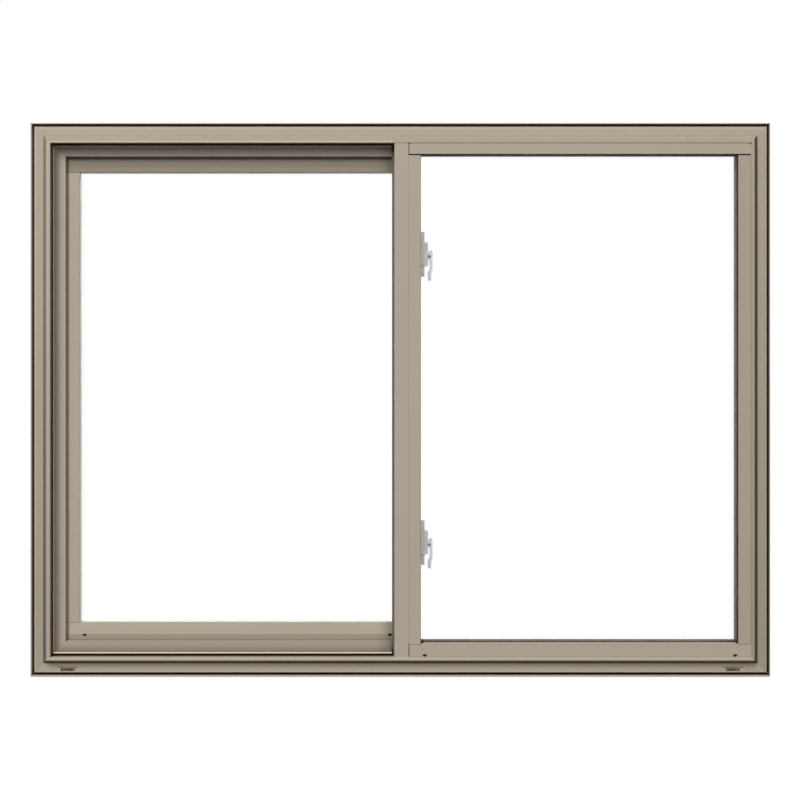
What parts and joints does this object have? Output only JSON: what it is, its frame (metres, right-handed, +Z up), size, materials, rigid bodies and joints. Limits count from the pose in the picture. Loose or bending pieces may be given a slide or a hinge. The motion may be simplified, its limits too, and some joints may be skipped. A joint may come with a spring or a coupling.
{
  "type": "horizontal sliding window",
  "caption": "Horizontal sliding window in a mitred frame: a left sash slides behind a fixed right sash, with double glazing, an interlocking meeting stile and lever locks.",
  "frame": {"origin": "middle of the sill's flat underside: mid width, mid depth, lowest plane of the frame", "axes": "+X to the right as seen from outside, +Y towards the room, +Z up"},
  "size_m": [1.2096, 0.0826, 0.9061],
  "materials": {
    "frame_vinyl": "satin tan vinyl",
    "glass": "clear float glass",
    "spacer": "mill finish",
    "spacer_dark": "dark coated",
    "interlock": "dark bronze coated",
    "track_metal": "mill finish",
    "lock_plate": "satin grey",
    "lock_body": "satin light grey",
    "lock_lever": "satin light grey",
    "lock_metal": "brushed",
    "roller": "moulded",
    "rubber": "matt",
    "pile": "woven pile"
  },
  "bodies": {
    "frame": {"frame_head": "frame_vinyl", "frame_sill": "frame_vinyl", "frame_left_jamb": "frame_vinyl", "frame_right_jamb": "frame_vinyl", "weep_cover_left": "frame_vinyl", "weep_cover_right": "frame_vinyl", "screen_track_head": "frame_vinyl", "screen_track_sill": "frame_vinyl", "screen_track_jamb": "frame_vinyl", "sill_track_rail": "track_metal", "fixed_top_rail": "frame_vinyl", "fixed_bottom_rail": "frame_vinyl", "fixed_right_stile": "frame_vinyl", "fixed_meeting_stile": "frame_vinyl", "fixed_meeting_post": "frame_vinyl", "fixed_interlock": "interlock", "lock_keepers": "lock_metal", "fixed_outer_glass": "glass", "fixed_glass_spacer": "spacer_dark", "fixed_inner_glass": "glass", "fixed_level_beads": "frame_vinyl", "fixed_upright_beads": "frame_vinyl", "open_stops": "rubber", "pile_strips": "pile"},
    "sash": {"sash_top_rail": "frame_vinyl", "sash_bottom_rail": "frame_vinyl", "sash_left_stile": "frame_vinyl", "sash_meeting_stile": "frame_vinyl", "sash_interlock": "interlock", "sash_outer_glass": "glass", "sash_glass_spacer": "spacer", "sash_inner_glass": "glass", "sash_level_beads": "frame_vinyl", "sash_upright_beads": "frame_vinyl", "roller_carriages": "roller", "roller_wheels": "roller", "upper_lock_plate": "lock_plate", "upper_lock_housing": "lock_body", "lower_lock_plate": "lock_plate", "lower_lock_housing": "lock_body"},
    "upper_lever": {"upper_lock_lever": "lock_lever"},
    "lower_lever": {"lower_lock_lever": "lock_lever"}
  },
  "joints": [
    {"name": "sash_slide", "type": "slide", "parent": "frame", "child": "sash", "axis": [1, 0, 0], "range_m": [0, 0.495]},
    {"name": "upper_lever_turn", "type": "hinge", "parent": "sash", "child": "upper_lever", "pos_m": [0.0485, 0.01875, 0.6907], "axis": [0, -1, 0], "range_deg": [0, 30]},
    {"name": "lower_lever_turn", "type": "hinge", "parent": "sash", "child": "lower_lever", "pos_m": [0.0485, 0.01875, 0.2128], "axis": [0, -1, 0], "range_deg": [0, 30]}
  ]
}
